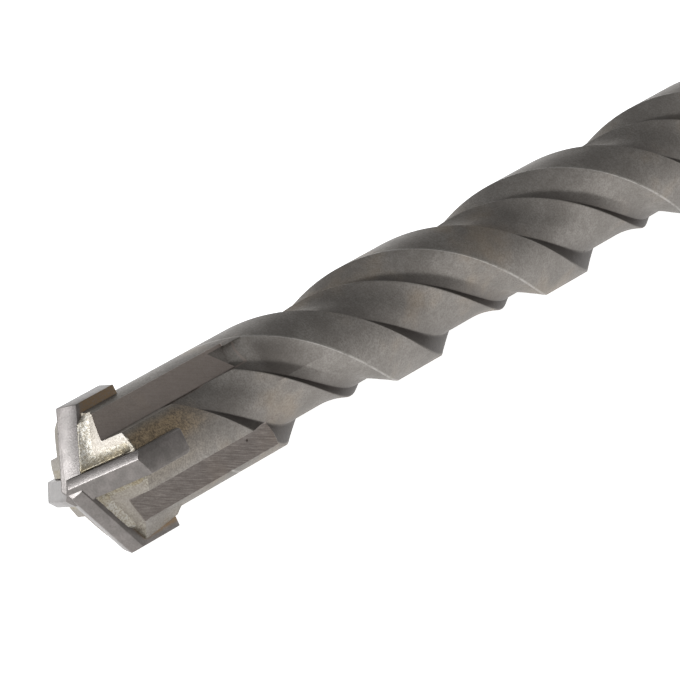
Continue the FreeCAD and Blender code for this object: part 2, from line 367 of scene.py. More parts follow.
cuts.append(opposite_too(mesh_from("ball_grooves", ball_groove_form())))
cuts.append(opposite_too(mesh_from("drive_slots", drive_slot_form())))
print("shank grooves", len(cuts) - len(NOTCHES), "pairs")

# %% [markdown]
# On the leading side of each long arm the head keeps a steel shoulder that backs the carbide out
# to the full drilling size and slopes down to the bar. It could be modelled face by face, but as a
# turned disc trimmed by planes it keeps the round fillet that the turning tool left. It stays clear
# of the bar's own faces by a hair, since two faces in one plane would join badly.

# %% Shoulders
CLEAR = 0.02
SHOULDER_FACE = FACE_SET_BACK + CLEAR
SHOULDER_FOOT = 3.32
SHOULDER_FRONT = (5.3, 7.6)
SHOULDER_BACK = (10.2, 7.05)
SHOULDER_FILLET = 1.5
SHOULDER_SEGMENTS = 256


def trimmed(form, point, normal):
    """Keep what lies behind a plane and close the cut."""
    everything = form.verts[:] + form.edges[:] + form.faces[:]
    bmesh.ops.bisect_plane(form, geom=everything, plane_co=point, plane_no=normal, clear_outer=True)
    rim = [edge for edge in form.edges if edge.is_boundary]
    bmesh.ops.contextual_create(form, geom=rim)


def plane_through(points, inside):
    """The plane of three points, as a point and the normal that looks away from the inside."""
    normal = (points[1] - points[0]).cross(points[2] - points[0]).normalized()
    if normal.dot(inside - points[0]) > 0:
        normal.negate()
    return points[0], normal


def shoulder_form(form):
    outline = [(SHOULDER_FACE, 0), (SHOULDER_FACE + EDGE_SLOPE * HEAD_RADIUS, HEAD_RADIUS)]
    steps = 8
    for step in range(steps + 1):
        turn = math.pi / 2 * step / steps
        station = SHOULDER_BACK[0] + 0.1 + SHOULDER_FILLET * (1 - math.cos(turn))
        outline.append((station, HEAD_RADIUS - CLEAR - SHOULDER_FILLET * math.sin(turn)))
    turned_form(outline + [(outline[-1][0], 0)], SHOULDER_SEGMENTS)(form)
    foot = math.sqrt(BODY_RADIUS ** 2 - SHOULDER_FOOT ** 2)
    slope = [Vector((*SHOULDER_FRONT, -LONG_HALF)), Vector((*SHOULDER_BACK, -LONG_HALF))]
    slope.append(Vector((SHOULDER_FRONT[0], foot, -SHOULDER_FOOT)))
    notch = NOTCHES["lower_notch"]
    slant = math.radians(notch["slant"])
    planes = [
        plane_through(slope, Vector((SHOULDER_FRONT[0], 0, -LONG_HALF))),
        (Vector((0, -notch["wall"], CLEAR - notch["floor"])), Vector((0, math.sin(slant), -math.cos(slant)))),
        (Vector((0, 4.5, 0)), Vector((0, -1, 0))),
        (Vector((0, 0, -LONG_HALF)), Vector((0, 0, 1))),
    ]
    for point, normal in planes:
        trimmed(form, point, normal)


shoulders = object_from("shoulders", opposite_too(mesh_from("shoulders", shoulder_form)))
print("shoulders", len(shoulders.data.polygons), "faces")

# %% [markdown]
# The flutes lift the dust out of the hole. They follow a rule, so Geometry Nodes make them. The
# cutter is a closed tube whose every section is the ground outline of one deep and one shallow
# flute, and the section turns with the lead as it runs back. Each point knows its row and its
# column, and two formulas give its place. A twisted extrusion would be shorter, but it couldn't
# lift the cutter out of the bar where the flutes run out.

# %% The flute cutter's rule
LEAD = 49.8
LAND_ANGLE = 67.0
LAND_STATION = 13.4
FLUTE_START = 11.2
FLUTE_SIZES = {
    "Lead": LEAD, "Start": FLUTE_START, "End": FLUTE_END,
    "Start Angle": LAND_ANGLE + (FLUTE_START - LAND_STATION) * 360 / LEAD,
    "Run Out": 12.0, "Deep Depth": 1.85, "Deep Wall": 14.0, "Deep Floor End": 48.0,
    "Shallow Depth": 1.8, "Ridge Angle": 79.5, "Ridge Drop": 1.0, "Shallow Foot": 87.0,
    "Shallow Floor End": 107.0, "Land Angle": 129.0, "Shallow Start": 21.6,
    "Corner Softness": 0.3, "Ridge Softness": 0.35, "Material": "NodeSocketMaterial",
}
ROWS = 420
COLUMNS = 54
WORKING_COLUMNS = 48
PROUD = 1.2


def tree_with_inputs(name, sizes):
    """A geometry tree with a named input for each size, and for a material where a type is given."""
    tree = bpy.data.node_groups.new(name, "GeometryNodeTree")
    for size, default in sizes.items():
        if isinstance(default, str):
            tree.interface.new_socket(size, in_out="INPUT", socket_type=default)
        else:
            socket = tree.interface.new_socket(size, in_out="INPUT", socket_type="NodeSocketFloat")
            socket.default_value = default
    tree.interface.new_socket("Geometry", in_out="OUTPUT", socket_type="NodeSocketGeometry")
    return tree


def tube_of(sheet, rows, columns):
    """A closed tube as a grid of points, with the row and the column of each."""
    path = sheet.add("GeometryNodeCurvePrimitiveLine")
    path = sheet.add("GeometryNodeResampleCurve", values={"Curve": path, "Count": rows})
    loop = sheet.add("GeometryNodeCurvePrimitiveCircle", values={"Resolution": columns})
    parts = {"Curve": path, "Profile Curve": loop, "Fill Caps": True}
    tube = sheet.add("GeometryNodeCurveToMesh", values=parts)
    index = sheet.add("GeometryNodeInputIndex")
    row = sheet.maths("FLOOR", (index + 0.5) / columns)
    return tube, row, index - row * columns


def placed_tube(sheet, tube, place, material):
    """Put the points of the grid in their places and close the tree."""
    tube = sheet.add("GeometryNodeSetPosition", values={"Geometry": tube, "Position": place})
    tube = sheet.add("GeometryNodeRealizeInstances", values={"Geometry": tube})
    tube = sheet.add("GeometryNodeSetMaterial", values={"Geometry": tube, "Material": material})
    sheet.add("NodeGroupOutput", values={"Geometry": tube})


def flute_radius(sheet, behind, station, size, lift):
    """Radius of the ground outline, at an angle behind the land's leading edge."""
    radius = BODY_RADIUS + lift
    outside = radius + PROUD
    soft = size("Corner Softness")
    deep_floor = radius - size("Deep Depth")
    wall = radius - behind * (size("Deep Depth") / size("Deep Wall"))
    climb = sheet.clamped(behind - size("Deep Floor End"), 0, 60)
    rise = deep_floor / sheet.maths("COSINE", climb * math.radians(1))
    deep = sheet.maths("SMOOTH_MAX", wall, rise, soft)
    shallow_floor = radius - size("Shallow Depth")
    crest = radius - size("Ridge Drop")
    slope = (crest - shallow_floor) / (size("Shallow Foot") - size("Ridge Angle"))
    side = crest - (behind - size("Ridge Angle")) * slope
    land_slope = size("Shallow Depth") / (size("Land Angle") - size("Shallow Floor End"))
    land_rise = shallow_floor + (behind - size("Shallow Floor End")) * land_slope
    shallow = sheet.maths("SMOOTH_MAX", sheet.maths("MAXIMUM", side, shallow_floor), land_rise, soft)
    begun = sheet.maths("GREATER_THAN", station, size("Shallow Start") - 0.01)
    shallow = shallow + (1 - begun) * 10
    both = sheet.maths("SMOOTH_MIN", deep, shallow, size("Ridge Softness"))
    return sheet.maths("MINIMUM", both, outside), outside


def flute_cutter_tree():
    tree = tree_with_inputs("flute_cutter", FLUTE_SIZES)
    sheet = Sheet(tree)
    size = sheet.add("NodeGroupInput").output
    tube, row, column = tube_of(sheet, ROWS, COLUMNS)
    before = 32
    station = sheet.along(row, [(0, size("Start")), (before, size("Shallow Start") - 0.03),
                                (before + 1, size("Shallow Start")), (ROWS - 1, size("End"))])
    past = sheet.maths("MAXIMUM", (station - size("End")) / size("Run Out") + 1, 0)
    lift = past * past * (size("Deep Depth") + 0.25)
    first = size("Deep Wall") / size("Deep Depth") * -PROUD
    land_slope = (size("Land Angle") - size("Shallow Floor End")) / size("Shallow Depth")
    last = size("Land Angle") + land_slope * PROUD
    wall_end = size("Deep Wall")
    floor_end = size("Deep Floor End")
    ridge = size("Ridge Angle")
    foot = size("Shallow Foot")
    shallow_end = size("Shallow Floor End")
    behind = sheet.along(column, [
        (0, first), (5, wall_end - 2.5), (10, wall_end + 3), (15, floor_end), (22, ridge - 5.5),
        (31, ridge + 3.5), (36, foot + 3), (40, shallow_end - 3), (43, shallow_end + 3),
        (WORKING_COLUMNS - 1, last), (WORKING_COLUMNS, last - 14), (COLUMNS - 1, first + 14)])
    ground, outside = flute_radius(sheet, behind, station, size, lift)
    away = sheet.maths("GREATER_THAN", column, WORKING_COLUMNS - 0.5)
    radius = ground + away * (outside * 1.6 - ground)
    turn = (size("Start Angle") + (station - size("Start")) * 360 / size("Lead") - behind) * math.radians(1)
    place = sheet.add("ShaderNodeCombineXYZ", values={
        "X": station, "Y": radius * sheet.maths("COSINE", turn), "Z": radius * sheet.maths("SINE", turn)})
    placed_tube(sheet, tube, place, size("Material"))
    return tree


def with_modifiers_applied(piece):
    """Replace the mesh by what the modifiers make of it, and take the modifiers off."""
    evaluated = piece.evaluated_get(bpy.context.evaluated_depsgraph_get())
    mesh = bpy.data.meshes.new_from_object(evaluated)
    piece.modifiers.clear()
    piece.data = mesh
    return piece


def made_by(tree, name, given):
    """Run a geometry tree with the given inputs and keep the result as a plain mesh."""
    piece = object_from(name, bpy.data.meshes.new(name))
    modifier = piece.modifiers.new("rule", "NODES")
    modifier.node_group = tree
    for socket in tree.interface.items_tree:
        if socket.in_out == "INPUT" and socket.name in given:
            modifier[socket.identifier] = given[socket.name]
    return with_modifiers_applied(piece)


steel_finish = bpy.data.materials.new("blasted_steel_finish")
flute_cutter = made_by(flute_cutter_tree(), "flute_cutter", {**FLUTE_SIZES, "Material": steel_finish})
form = bmesh.new()
form.from_mesh(flute_cutter.data)
volume = round(form.calc_volume(signed=True), 1)
open_edges = sum(edge.is_boundary for edge in form.edges)
print("flute cutter", len(form.verts), "points, volume", volume, "mm3, open edges", open_edges)
form.free()

# %% [markdown]
# Near the head the grinding wheel stops short of the long arms. Three blocks keep that steel: the
# first ends on the slanted line where the shallow flute begins, the second holds the notch's floor
# up to there, and the third holds the land's edge. They are taken out of the cutter before the
# cutter is taken out of the bar, because the wheel's path is what changed and not the bar. The
# first block stands a hair off the notch's wall: in one plane they would leave a leaf of steel
# with no thickness.

# %% Cutter trimmed beside the long arms


def block_form(low, high):
    """A block between two opposite corners."""
    def builder(form):
        bmesh.ops.create_cube(form, size=1)
        for corner in form.verts:
            corner.co = Vector([high[i] if corner.co[i] > 0 else low[i] for i in range(3)])
    return builder


def joined_by(operation, piece, others):
    """Boolean modifiers with each of the others in turn, applied."""
    for other in others:
        modifier = piece.modifiers.new("cut", "BOOLEAN")
        modifier.operation = operation
        modifier.solver = "MANIFOLD"
        modifier.object = other
    return with_modifiers_applied(piece)


HAIR = 0.03
KEPT_WALL = NOTCHES["upper_notch"]["wall"] + HAIR
KEPT_FRONT = [(5, KEPT_WALL, -30), (23.9, KEPT_WALL, -30), (21.4, 6.0, -30), (21.4, 30, -30), (5, 30, -30)]
KEPT_FLOOR = [(21.0, 2.6, 1.0), (30.0, 2.6, 1.0), (30.0, 2.6, 2.27), (21.0, 2.6, 3.71)]
kept = {
    "keeper_front": milled_form(KEPT_FRONT, (0, 0, 60)),
    "keeper_floor": milled_form(KEPT_FLOOR, (0, 3.4, -0.88)),
    "keeper_side": block_form((5, 5.62, -30), (26.2, 30, 30)),
}
keepers = [object_from(name, mesh_from(name, builder)) for name, builder in kept.items()]
joined_by("DIFFERENCE", flute_cutter, keepers)
print("cutter beside the long arms", len(flute_cutter.data.polygons), "faces")

# %% [markdown]
# The cuts follow the order of the workshop: first the milled notches and shank grooves, then the
# shoulders, which the grinding wheel also meets, then the flutes. Booleans between closed meshes
# give the same edges as the real cutters do, also where a notch runs into a flute.

# %% Cut the body
milled = [object_from("milled_" + str(number), mesh) for number, mesh in enumerate(cuts)]
ground = object_from("ground_flutes", opposite_too(flute_cutter.data.copy()))
body = joined_by("DIFFERENCE", bar, milled)
body = joined_by("UNION", body, [shoulders])
body = joined_by("DIFFERENCE", body, [ground])
body.name = "fluted_body"
for helper in milled + keepers + [shoulders, flute_cutter, ground]:
    bpy.data.objects.remove(helper)

# %% [markdown]
# Booleans leave doubled points and slivers, so the mesh is cleaned before it is shaded. Ground
# steel has crisp edges between smooth faces, which is what marking edges by their angle gives.

# %% Clean the body's mesh
SHARP_ANGLE = 26.0
DOUBLES = 0.004
SLIVERS = 0.002


def finished(piece):
    """Merge doubles, lay the piece down and mark its sharp edges."""
    form = bmesh.new()
    form.from_mesh(piece.data)
    bmesh.ops.remove_doubles(form, verts=form.verts, dist=DOUBLES)
    bmesh.ops.dissolve_degenerate(form, edges=form.edges, dist=SLIVERS)
    form.to_mesh(piece.data)
    form.free()
    piece.data.transform(lying_down())
    smooth_shaded(piece.data, SHARP_ANGLE)
    piece.data.calc_loop_triangles()
    print(piece.name, len(piece.data.loop_triangles), "triangles")
    return piece


finished(body)

# %% [markdown]
# The carbide cross does the cutting. It keeps its CAD shape, because its flats and angles are
# exact there, and a merged copy gets a fine bevel, as a real ground edge is never quite sharp. The
# copy is set aside by the small distance at which the photograph shows it.

# %% Carbide cross
EDGE_ROUND = 0.11
CORNER_ROUND = 0.45
RIDGE_LAND = 0.1
SET_ASIDE = 0.2
SHORT_BACK = 9.9
CROSS_SHARP_ANGLE = 40.0


def rounded_corners(form):
    """Round the back corners of the short blade's ends, which the grinder takes off."""
    to_bit = lying_down().inverted()
    corners = []
    for edge in form.edges:
        first, second = [to_bit @ vert.co for vert in edge.verts]
        along = abs(second.x - first.x) / max((second - first).length, 1e-6)
        beside = all(abs(abs(point.y) - SHORT_HALF) < 0.03 for point in (first, second))
        if beside and along < 0.9 and min(first.x, second.x) > SHORT_BACK:
            corners.append(edge)
    bmesh.ops.bevel(form, geom=corners, offset=CORNER_ROUND * MM, segments=4, profile=0.5, affect="EDGES")
    print("rounded", len(corners), "corner edges of the short blade")


def honed_ridges(form):
    """A narrow honed land along each cutting ridge, which catches the light as one bright line."""
    form.normal_update()
    ridges = []
    for edge in form.edges:
        faces = edge.link_faces
        forward = len(faces) == 2 and all(face.normal.x < -0.5 for face in faces)
        if forward and edge.is_convex and faces[0].normal.angle(faces[1].normal) > math.radians(50):
            ridges.append(edge)
    bmesh.ops.bevel(form, geom=ridges, offset=RIDGE_LAND * MM, segments=2, profile=0.5, affect="EDGES")
    print("honed", len(ridges), "ridges")


def carbide_cross():
    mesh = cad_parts["carbide_cross_tip"].data.copy()
    form = bmesh.new()
    form.from_mesh(mesh)
    bmesh.ops.remove_doubles(form, verts=form.verts, dist=1e-6)
    bmesh.ops.dissolve_limit(form, angle_limit=math.radians(0.5), verts=form.verts, edges=form.edges)
    rounded_corners(form)
    honed_ridges(form)
    form.to_mesh(mesh)
    form.free()
    mesh.materials.clear()
    mesh.transform(lying_down() @ Matrix.Translation((0, -SET_ASIDE, 0)) @ lying_down().inverted())
    piece = object_from("carbide_cross", mesh)
    modifier = piece.modifiers.new("edges", "BEVEL")
    modifier.width = EDGE_ROUND * MM
    modifier.segments = 3
    modifier.limit_method = "ANGLE"
    modifier.angle_limit = math.radians(24)
    with_modifiers_applied(piece)
    smooth_shaded(piece.data, CROSS_SHARP_ANGLE)
    print("carbide cross", len(piece.data.polygons), "faces")
    return piece


cross = carbide_cross()

# %% [markdown]
# Braze is the metal that was melted to hold the carbide. It fills the corner where each side of a
# blade leaves the steel face. Its section is a small hollow fillet, the same all along the blade,
# so the rule is like that of the flutes: a tube whose rows run out along the blade and whose
# columns run from the blade's side down to the steel. A bump map alone would leave the corner
# square in outline.

# %% The braze fillet's rule
FILLET_SIZES = {
    "Half": LONG_HALF, "Top": 0.9, "Width": 1.1, "Inner": 1.2, "Outer": 6.2, "Fade": 0.6,
    "Grain": 2.2, "Roughness": 0.16, "Seed": 0.0, "Material": "NodeSocketMaterial",
}
FILLET_ROWS = 90
FILLET_COLUMNS = 18
FILLET_SHOWN = 14


def fillet_tree():
    tree = tree_with_inputs("braze_fillet", FILLET_SIZES)
    sheet = Sheet(tree)
    size = sheet.add("NodeGroupInput").output
    tube, row, column = tube_of(sheet, FILLET_ROWS, FILLET_COLUMNS)
    out = size("Inner") + (size("Outer") - size("Inner")) * row / (FILLET_ROWS - 1)
    fade = sheet.clamped((size("Outer") - out) / size("Fade"), 0, 1)
    across = sheet.clamped(column / FILLET_SHOWN, 0, 1)
    hidden = sheet.maths("GREATER_THAN", column, FILLET_SHOWN + 0.5)
    side = size("Half") - 0.06 + size("Width") * across * (1 - hidden)
    face = sheet.maths("SQRT", out * out + side * side) * EDGE_SLOPE + FACE_SET_BACK + 0.04
    top = out * EDGE_SLOPE + size("Top")
    top = face + 0.02 + (top - face) * fade
    bend = 1 - (1 - across) * (1 - across)
    spot = sheet.add("ShaderNodeCombineXYZ", values={"X": size("Seed"), "Y": out, "Z": side})
    noise = {"Vector": spot, "Scale": size("Grain"), "Detail": 3.0}
    grain = sheet.add("ShaderNodeTexNoise", values=noise)
    swell = (grain - 0.5) * size("Roughness") * (1.2 - across) * fade
    station = top + (face - top) * bend + swell
    station = station + hidden * (face + 0.5 - station)
    place = sheet.add("ShaderNodeCombineXYZ", values={"X": station, "Y": out, "Z": side})
    placed_tube(sheet, tube, place, size("Material"))
    return tree


# %% [markdown]
# Every finish below asks the same questions of a point: how far is it along the bit, how far from
# the axis, and where round it. Object coordinates give the place on the table, and one turn takes
# that back to the bit's own frame, so each mark stays on the form that it belongs to.

# %% Where a point of the finish lies


class Place:
    """A point of the surface in the bit's own frame, in millimetres and degrees."""

    def __init__(self, sheet):
        self.object = sheet.add("ShaderNodeTexCoord", output="Object")
        parts = sheet.add("ShaderNodeSeparateXYZ", values={0: self.object})
        side = parts.output("Y") * 1000
        height = parts.output("Z") * 1000 - BODY_RADIUS
        cosine = math.cos(math.radians(REST_ROLL))
        sine = math.sin(math.radians(REST_ROLL))
        self.station = parts.output("X") * 1000 + OVERALL_LENGTH / 2
        self.long = side * cosine + height * sine
        self.short = height * cosine - side * sine
        self.radius = sheet.maths("SQRT", self.long * self.long + self.short * self.short)
        self.angle = sheet.maths("ARCTAN2", self.short, self.long) * math.degrees(1)
        self.from_long_blade = sheet.maths("ABSOLUTE", self.short) - LONG_HALF
        self.from_short_blade = sheet.maths("ABSOLUTE", self.long) - SHORT_HALF
        self.behind_face = self.station - (self.radius * EDGE_SLOPE + FACE_SET_BACK)


# %% [markdown]
# A few helpers keep the finishes short. Colours are written in steps of 255, as a paint program
# shows them, and turned into the linear values that the nodes need.

# %% Helpers of the finishes


def sheet_of(owner):
    """The emptied node tree of a material or a world."""
    owner.use_nodes = True
    owner.node_tree.nodes.clear()
    return Sheet(owner.node_tree)


def finish_material(sheet, shader):
    sheet.add("ShaderNodeOutputMaterial", values={"Surface": shader})


def metal(sheet, colour, roughness, height, strength, depth):
    """Close the tree with a bare metal of this colour and roughness, and a relief of fine bumps."""
    bump = sheet.add("ShaderNodeBump", values={"Strength": strength, "Distance": depth, "Height": height})
    values = {"Base Color": colour, "Metallic": 1.0, "Roughness": roughness, "Normal": bump}
    finish_material(sheet, sheet.add("ShaderNodeBsdfPrincipled", values=values))


def pits(sheet, place, scale, share, size):
    """1 in small round pits: one in each cell whose random number is under the share."""
    cells = {"Vector": place, "Scale": scale}
    gap = sheet.add("ShaderNodeTexVoronoi", values=cells, output="Distance")
    tint = sheet.add("ShaderNodeTexVoronoi", values=cells, output="Color")
    chance = sheet.add("ShaderNodeSeparateXYZ", values={0: tint}).output("X")
    return sheet.step(gap, size, size * 0.6) * sheet.maths("LESS_THAN", chance, share)


def speckle(sheet, place, scale, detail=3.0):
    """Noise between about 0.2 and 0.8, from a size of about one over the scale in metres."""
    values = {"Vector": place, "Scale": scale, "Detail": detail, "Roughness": 0.6}
    return sheet.add("ShaderNodeTexNoise", values=values)


def mixed(sheet, factor, first, second):
    """First where the factor is 0, second where it is 1. Sockets 6 and 7 take the colours."""
    values = {"Factor": factor, 6: first, 7: second}
    return sheet.add("ShaderNodeMix", {"data_type": "RGBA"}, values, output=2)


def linear(red, green, blue):
    """Linear colour of an sRGB one, in whole steps of 255."""
    def part(step):
        level = step / 255
        return level / 12.92 if level <= 0.04045 else ((level + 0.055) / 1.055) ** 2.4
    return (part(red), part(green), part(blue), 1.0)


def drawn_out(sheet, place, along, across, slant):
    """Fine lines on a milled floor: noise drawn out along the cutter's way, slanted to the bit."""
    turn = math.radians(slant)
    reach = place.station * math.cos(turn) + place.long * math.sin(turn)
    width = place.long * math.cos(turn) - place.station * math.sin(turn)
    parts = {"X": reach * along, "Y": width * across, "Z": place.short * 0.3}
    return speckle(sheet, sheet.add("ShaderNodeCombineXYZ", values=parts), 1.0)


# %% [markdown]
# The steel was blasted with grit after milling, so it is an even, warm grey with a fine grain and
# a few dark pits. Noise at four sizes makes the ground. A painted texture would need the bit
# unwrapped, and it would stretch where the cuts were made. The finish is built up in layers, so
# one class holds what they share: the place, the noises and the masks of floors and flutes.

# %% Blasted ground
STEEL_NOISES = [(5200.0, 2.0), (1500.0, 3.0), (260.0, 2.0), (130.0, 3.0)]
FLUTED_STATIONS = ((12.0, 15.0), (150.0, 147.0))


class Steel:
    """What the layers of the steel's finish share."""

    def __init__(self, sheet):
        self.sheet = sheet
        self.place = Place(sheet)
        noises = [speckle(sheet, self.place.object, *scale_and_detail) for scale_and_detail in STEEL_NOISES]
        self.grain, self.coarse, self.cloud, self.stain = noises
        self.upper = sheet.maths("GREATER_THAN", self.place.long * self.place.short, 0.0)
        self.floor = self.notch_floors()
        turn = (self.place.station - LAND_STATION) * (360 / LEAD) + LAND_ANGLE - self.place.angle
        self.behind = sheet.maths("WRAP", turn, 180.0, 0.0)
        self.fluted = sheet.band(self.place.station, *FLUTED_STATIONS)

    def notch_floors(self):
        """1 on the flat floors that were milled beside the short blade, 0 elsewhere."""
        sheet = self.sheet
        along_long = sheet.maths("ABSOLUTE", self.place.long)
        along_short = sheet.maths("ABSOLUTE", self.place.short)
        heights = []
        for notch in (NOTCHES["upper_notch"], NOTCHES["lower_notch"]):
            slope = math.tan(math.radians(notch["slant"]))
            heights.append(along_short - notch["floor"] + (along_long - abs(notch["wall"])) * slope)
        upper, lower = heights
        height = lower + self.upper * (upper - lower)
        floor = sheet.step(sheet.maths("ABSOLUTE", height), 0.07, 0.03) * sheet.step(along_long, 3.0, 3.15)
        return floor * sheet.step(self.place.station, 27.2, 26.4)


def blasted_ground(steel):
    sheet = steel.sheet
    colour = mixed(sheet, sheet.step(steel.cloud, 0.3, 0.7), linear(131, 127, 122), linear(146, 142, 137))
    colour = mixed(sheet, sheet.step(steel.coarse, 0.35, 0.7) * 0.4, colour, linear(118, 113, 108))
    colour = mixed(sheet, sheet.step(steel.grain, 0.35, 0.7) * 0.5, colour, linear(108, 102, 96))
    return mixed(sheet, sheet.step(steel.stain, 0.52, 0.72) * 0.3, colour, linear(146, 128, 104))


# %% [markdown]
# The milled notch floors keep more of the cutter's work. The lower ones are dark and show its
# slanted lines, the upper ones are warm and nearly plain. The lines go into the colour and the
# relief, since colour alone would stay put when the light moves.

# %% Milled floors
LINE_SLANT = -24.0


def milled_floors(steel, colour):
    """The colour with its floors, and the relief of the lines."""
    sheet = steel.sheet
    lines = drawn_out(sheet, steel.place, 0.5, 6.5, LINE_SLANT)
    milled = mixed(sheet, steel.upper, linear(110, 101, 97), linear(150, 138, 131))
    colour = mixed(sheet, steel.floor * 0.6, colour, milled)
    marked = steel.floor * (1 - steel.upper * 0.75)
    colour = mixed(sheet, marked * sheet.step(lines, 0.5, 0.66) * 0.22, colour, linear(176, 168, 162))
    colour = mixed(sheet, marked * sheet.step(lines, 0.48, 0.36) * 0.3, colour, linear(78, 70, 66))
    return colour, marked * lines


# %% [markdown]
# Beside the carbide the heat of brazing left its marks: a golden crust of flux close to the blades
# on the coned face, and straw and brown tints behind it. Distance from the blades drives them,
# with noise added to the distance, so their borders wander as real ones do.

# %% Marks of the brazing heat


def brazing_heat(steel, colour):
    """The colour with the heat's marks, and the mask of the crust."""
    sheet = steel.sheet
    place = steel.place
    face = sheet.step(place.behind_face, 0.2, 0.05)
    near_blade = sheet.maths("MINIMUM", place.from_long_blade, place.from_short_blade)
    front = sheet.step(place.station, 12.5, 9.5)
    crust = front * sheet.step(near_blade + steel.coarse * 1.2, 3.2, 0.8)
    crust = crust * (face * 0.75 + 0.25)
    golden = mixed(sheet, sheet.step(steel.grain, 0.38, 0.62), linear(146, 140, 126), linear(108, 99, 82))
    colour = mixed(sheet, crust * 0.6, colour, golden)
    tempered = face * sheet.step(place.radius, 6.4, 6.0)
    colour = mixed(sheet, tempered * 0.5, colour, linear(122, 116, 108))
    beside = sheet.step(place.from_short_blade + steel.stain * 1.6, 3.0, 1.4)
    heat = sheet.step(place.station + steel.coarse * 3, 19.0, 12.0) * beside
    heat = heat * (1 - face) * (1 - steel.floor)
    leading = sheet.step(place.long * sheet.maths("SIGN", place.short), -0.8, 0.9)
    scale = sheet.step(steel.grain + steel.coarse * 0.6, 0.55, 1.05)
    tint = mixed(sheet, scale, linear(172, 150, 118), linear(104, 90, 70))
    return mixed(sheet, heat * (leading * 0.6 + 0.12), colour, tint), crust


# %% [markdown]
# The steep walls and hollows of the flutes get painted shade, where the ridges keep the light off,
# and the back edge of each land is worn and painted lighter as a highlight. Each mark is a band of
# angles behind the land's leading edge. The lead that cut the flutes turns those angles, so the
# marks follow the helix without any unwrapping.

# %% Flutes
DEEP_WALL = ((0.3, 2.5), (17.0, 12.0))
DEEP_HOLLOW = (44.0, 12.0)
SHALLOW_WALL = ((79.8, 81.5), (90.0, 86.0))
SHALLOW_HOLLOW = ((80.0, 82.0), (112.0, 84.0))
START_STATIONS = ((26.0, 27.5), (36.0, 28.5))
START_ANGLES = ((68.0, 76.0), (131.0, 118.0))
RUBBED_EDGE = 129.5


def painted_flute_shade(steel, colour):
    """The colour with painted shade on the walls, in the hollows and at the start of the shallow flute."""
    sheet = steel.sheet
    place = steel.place
    behind = steel.behind
    under = sheet.step(place.radius, 6.54, 6.3) * steel.fluted * (1 - steel.floor)
    shallow_wall_shade = sheet.band(behind, *SHALLOW_WALL) * sheet.step(place.radius, 5.7, 5.5)
    shallow_wall_shade = shallow_wall_shade * sheet.step(place.station, 22.0, 24.0)
    painted_wall_shade = sheet.clamped(sheet.band(behind, *DEEP_WALL) + shallow_wall_shade, 0, 1) * under
    # Painted shade: the flute walls are darkened in the colour, where the ridges keep the light off.
    colour = mixed(sheet, painted_wall_shade * 0.85, colour, linear(60, 55, 52))
    painted_hollow_shade = sheet.step(behind, *DEEP_HOLLOW) * 0.3 + sheet.band(behind, *SHALLOW_HOLLOW) * 0.6
    # Painted shade in the hollows behind the walls.
    colour = mixed(sheet, painted_hollow_shade * under, colour, linear(84, 79, 76))
    start = sheet.band(place.station, *START_STATIONS) * sheet.band(behind, *START_ANGLES)
    # Painted shade at the start of the shallow flute, where the notch's end would catch the light.
    return mixed(sheet, start * steel.upper * under * 0.6, colour, linear(82, 77, 73))


def rubbed_edges_and_highlight(steel, colour):
    """The colour with its worn edges painted lighter as a highlight, and their mask."""
    sheet = steel.sheet
    skin = sheet.step(steel.place.radius, 6.5, 6.58)
    from_edge = sheet.maths("ABSOLUTE", steel.behind - RUBBED_EDGE)
    rubbed_and_highlight = skin * sheet.step(from_edge, 2.4, 0.3) * steel.fluted * sheet.step(steel.coarse, 0.25, 0.6)
    # Painted highlight on the worn back edge of each land.
    return mixed(sheet, rubbed_and_highlight * 0.4, colour, linear(190, 187, 182)), rubbed_and_highlight


# %% [markdown]
# The layers go on in the order in which the marks came: blasting, milling lines, heat, then the
# painted shade in the flutes, rubbing with its painted highlight, and the pits last. Roughness and
# relief come from the same masks as the colour, because a rubbed edge is smoother and a crust stands proud.

# %% Blasted steel


def blasted_steel(material):
    sheet = sheet_of(material)
    steel = Steel(sheet)
    colour = blasted_ground(steel)
    colour, lines = milled_floors(steel, colour)
    colour, crust = brazing_heat(steel, colour)
    # Painted shade on the flute walls and in the hollows.
    colour = painted_flute_shade(steel, colour)
    # Worn edges, painted lighter as a highlight. The same mask also makes them smoother.
    colour, rubbed_and_highlight = rubbed_edges_and_highlight(steel, colour)
    pitted = pits(sheet, steel.place.object, 620.0, 0.05, 0.14)
    colour = mixed(sheet, pitted * 0.8, colour, linear(58, 50, 44))
    roughness = 0.48 - rubbed_and_highlight * 0.14 + steel.grain * 0.1 - steel.floor * 0.06 - crust * 0.06
    height = steel.grain * 0.6 + steel.coarse * 0.8 - pitted * 1.4 + lines * 0.8
    height = height + crust * steel.coarse * 2.4
    metal(sheet, colour, roughness, height, 0.55, 0.00006)
    print("steel finish", len(sheet.tree.nodes), "nodes")


blasted_steel(steel_finish)

# %% [markdown]
# The carbide is sintered powder, ground with a diamond wheel. It is darker and smoother than the
# steel, with fine pores, and a brown flux stain where the long blade's sides meet the face.

# %% Ground carbide


